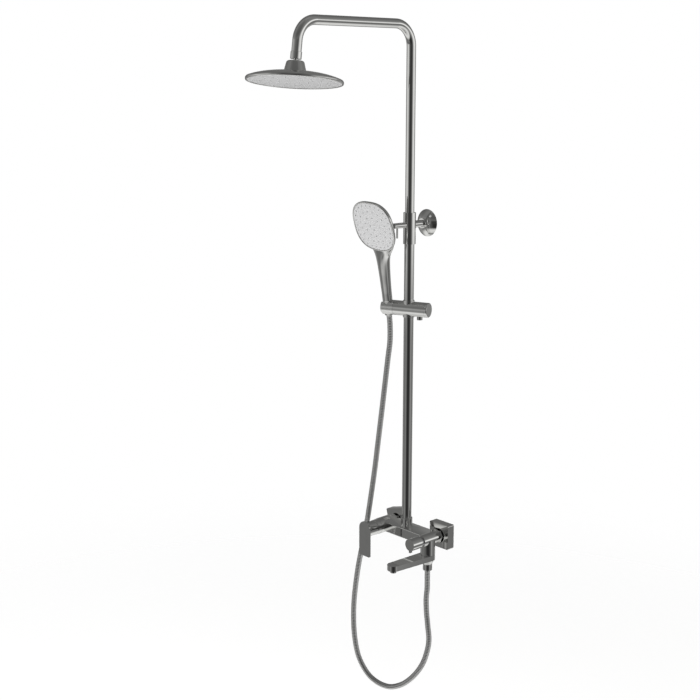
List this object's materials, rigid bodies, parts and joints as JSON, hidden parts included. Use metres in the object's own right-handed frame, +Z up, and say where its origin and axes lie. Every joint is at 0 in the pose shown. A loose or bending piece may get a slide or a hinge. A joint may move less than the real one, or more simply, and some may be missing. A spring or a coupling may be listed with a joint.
{
  "type": "shower column",
  "caption": "Exposed bath and shower column: lever bar mixer with swivel spout, telescopic riser, overhead rain head, and hand shower on a sliding holder with a metal hose.",
  "frame": {"origin": "on the wall, midway between the two inlet centres", "axes": "+X along the wall towards the diverter, +Y into the wall, +Z up"},
  "size_m": [0.2552, 0.5348, 1.6732],
  "materials": {
    "polished_chrome": "polished chrome plate",
    "satin_chrome": "satin chrome plate",
    "brass": "machined",
    "steel": "brushed",
    "white_plastic": "moulded",
    "dark_plastic": "moulded",
    "red_plastic": "moulded",
    "black_rubber": "matte",
    "spray_grey": "satin pale grey",
    "silicone": "soft grey silicone",
    "metal_hose": "interlocked metal strip"
  },
  "bodies": {
    "wall_unit": {"mixer_body": "polished_chrome", "union_left": "brass", "union_right": "brass", "union_nut_left": "polished_chrome", "union_nut_right": "polished_chrome", "rosette_left": "polished_chrome", "rosette_right": "polished_chrome", "inlet_washers": "black_rubber", "cartridge": "white_plastic", "cartridge_nut": "brass", "cartridge_cover": "polished_chrome", "diverter_cartridge": "white_plastic", "diverter_gland": "steel", "swivel_post": "brass", "hose_outlet": "polished_chrome", "hose_nut_mixer": "polished_chrome", "hose": "metal_hose", "riser_nut": "polished_chrome", "riser_seal": "black_rubber", "lower_pipe": "polished_chrome", "sleeve": "polished_chrome", "sleeve_seal": "black_rubber", "bracket_stem": "polished_chrome", "wall_flange": "polished_chrome", "wall_plate": "steel", "flange_screw": "steel"},
    "mixing_disc": {"mixing_disc": "white_plastic", "stem_pin": "steel"},
    "lever": {"lever_stem": "brass", "lever": "polished_chrome", "lever_screw": "steel", "lever_plug": "red_plastic"},
    "diverter": {"diverter_knob": "polished_chrome", "diverter_spindle": "brass"},
    "spout": {"spout": "polished_chrome", "spout_seals": "black_rubber", "aerator_housing": "polished_chrome", "aerator_insert": "silicone"},
    "column_guide": {"guide_bush": "white_plastic"},
    "arm": {"shower_arm": "polished_chrome", "arm_elbow": "polished_chrome", "arm_nut": "polished_chrome", "ball_stud": "polished_chrome"},
    "head_seat": {"ball_seat": "white_plastic"},
    "head": {"head_bell": "polished_chrome", "head_shell": "polished_chrome", "head_face": "spray_grey", "head_mat": "silicone"},
    "clamp": {"clamp_screw": "polished_chrome", "clamp_bar": "polished_chrome"},
    "slider_ring": {"slider_bush": "satin_chrome"},
    "slider": {"slider_body": "polished_chrome", "slider_cap": "polished_chrome", "button_spring": "steel"},
    "button": {"slider_button": "polished_chrome"},
    "holder": {"holder_cradle": "satin_chrome"},
    "handset": {"hose_nut_handset": "polished_chrome", "handset_shell": "polished_chrome", "handset_face": "spray_grey", "handset_mat": "silicone"}
  },
  "joints": [
    {"name": "lever_turn", "type": "hinge", "parent": "wall_unit", "child": "mixing_disc", "pos_m": [-0.075, -0.08, 0], "axis": [0, 1, 0], "range_deg": [-45, 45]},
    {"name": "lever_lift", "type": "hinge", "parent": "mixing_disc", "child": "lever", "pos_m": [-0.075, -0.08, 0], "axis": [-1, 0, 0], "range_deg": [0, 20]},
    {"name": "diverter_turn", "type": "hinge", "parent": "wall_unit", "child": "diverter", "pos_m": [0.075, -0.1, 0], "axis": [0, 1, 0], "range_deg": [-90, 90]},
    {"name": "spout_swing", "type": "hinge", "parent": "wall_unit", "child": "spout", "pos_m": [0.075, -0.06, -0.045], "axis": [0, 0, 1], "range_deg": [-26, 60]},
    {"name": "column_height", "type": "slide", "parent": "wall_unit", "child": "column_guide", "axis": [0, 0, 1], "range_m": [-0.1, 0.15]},
    {"name": "arm_turn", "type": "hinge", "parent": "column_guide", "child": "arm", "pos_m": [0, -0.06, 0.5], "axis": [0, 0, 1], "range_deg": [-60, 60]},
    {"name": "head_pitch", "type": "hinge", "parent": "arm", "child": "head_seat", "pos_m": [0, -0.41, 1.141], "axis": [1, 0, 0], "range_deg": [-8, 8]},
    {"name": "head_roll", "type": "hinge", "parent": "head_seat", "child": "head", "pos_m": [0, -0.41, 1.141], "axis": [0, 1, 0], "range_deg": [-8, 8]},
    {"name": "clamp_turn", "type": "hinge", "parent": "wall_unit", "child": "clamp", "pos_m": [0, -0.09, 0.772], "axis": [0, -1, 0], "range_deg": [0, 180]},
    {"name": "slider_height", "type": "slide", "parent": "wall_unit", "child": "slider_ring", "axis": [0, 0, 1], "range_m": [-0.35, 0.08], "deforming": ["hose"]},
    {"name": "slider_turn", "type": "hinge", "parent": "slider_ring", "child": "slider", "pos_m": [0, -0.06, 0.5685], "axis": [0, 0, 1], "range_deg": [-35, 8], "deforming": ["hose"]},
    {"name": "button_press", "type": "slide", "parent": "slider", "child": "button", "axis": [0, 0, 1], "range_m": [0, 0.0025], "stiffness_N_per_m": 600, "springref_m": -0.001, "deforming": ["button_spring"]},
    {"name": "holder_lean", "type": "hinge", "parent": "slider", "child": "holder", "pos_m": [-0.0517, -0.0786, 0.5685], "axis": [0.9409, 0.3387, 0], "range_deg": [0, 35], "deforming": ["hose"]},
    {"name": "handset_lift", "type": "slide", "parent": "holder", "child": "handset", "axis": [0.0819, -0.2276, 0.9703], "range_m": [0, 0.1], "deforming": ["hose"]}
  ]
}
